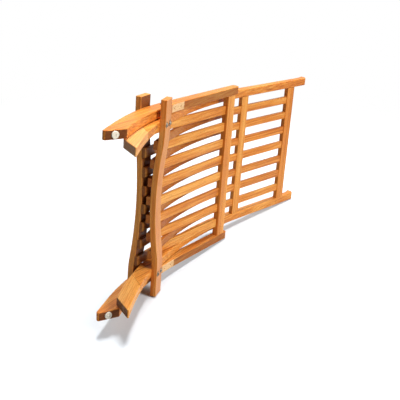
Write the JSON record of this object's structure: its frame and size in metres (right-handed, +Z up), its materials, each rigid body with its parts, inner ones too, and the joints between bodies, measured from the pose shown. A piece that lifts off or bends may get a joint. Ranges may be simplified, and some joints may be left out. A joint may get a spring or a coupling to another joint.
{
  "type": "folding slatted armchair",
  "caption": "Folding slatted wooden garden chair: two curved frames crossed on one pivot line, dished cross boards, shown folded and stood on its side.",
  "frame": {"origin": "middle of the bounding box, on the surface that the folded chair stands on", "axes": "+Z up as the folded chair stands on its side; +X towards the top end of the back; +Y from the sitting side of the back to its rear"},
  "size_m": [1.2094, 0.3412, 0.5989],
  "materials": {
    "teak": "oiled",
    "glide_plastic": "matte",
    "dark_screw": "blackened",
    "zinc_steel": "dull zinc",
    "bush_brass": "satin"
  },
  "bodies": {
    "seat_frame": {"seat_rail_right": "teak", "pivot_bolt_right": "zinc_steel", "pivot_nut_right": "zinc_steel", "pivot_spacer_right": "zinc_steel", "pivot_washer_right": "zinc_steel", "rear_glide_right": "glide_plastic", "seat_rail_left": "teak", "pivot_bolt_left": "zinc_steel", "pivot_nut_left": "zinc_steel", "pivot_spacer_left": "zinc_steel", "pivot_washer_left": "zinc_steel", "rear_glide_left": "glide_plastic", "seat_front_bar": "teak", "seat_rear_bar": "teak", "seat_slat_1": "teak", "seat_slat_2": "teak", "seat_slat_3": "teak", "seat_slat_4": "teak", "seat_slat_5": "teak", "seat_slat_6": "teak", "seat_slat_7": "teak", "seat_slat_8": "teak", "seat_slat_screws": "dark_screw", "rear_bar_screws": "dark_screw", "glide_nails": "zinc_steel"},
    "back_frame": {"back_rail_right": "teak", "front_leg_right": "teak", "pivot_bush_right": "bush_brass", "back_rail_left": "teak", "front_leg_left": "teak", "pivot_bush_left": "bush_brass", "back_top_bar": "teak", "back_middle_bar": "teak", "back_lower_bar": "teak", "back_slat_1": "teak", "back_slat_2": "teak", "back_slat_3": "teak", "back_slat_4": "teak", "back_slat_5": "teak", "back_slat_6": "teak", "back_slat_7": "teak", "back_slat_screws": "dark_screw", "lower_bar_screws": "zinc_steel", "lower_bar_washers": "zinc_steel"}
  },
  "joints": [
    {"name": "fold", "type": "hinge", "parent": "seat_frame", "child": "back_frame", "pos_m": [-0.26567, 0.03169, 0.2955], "axis": [0.0658, 0.0264, 0.9975], "range_deg": [-2.5, 96]}
  ]
}
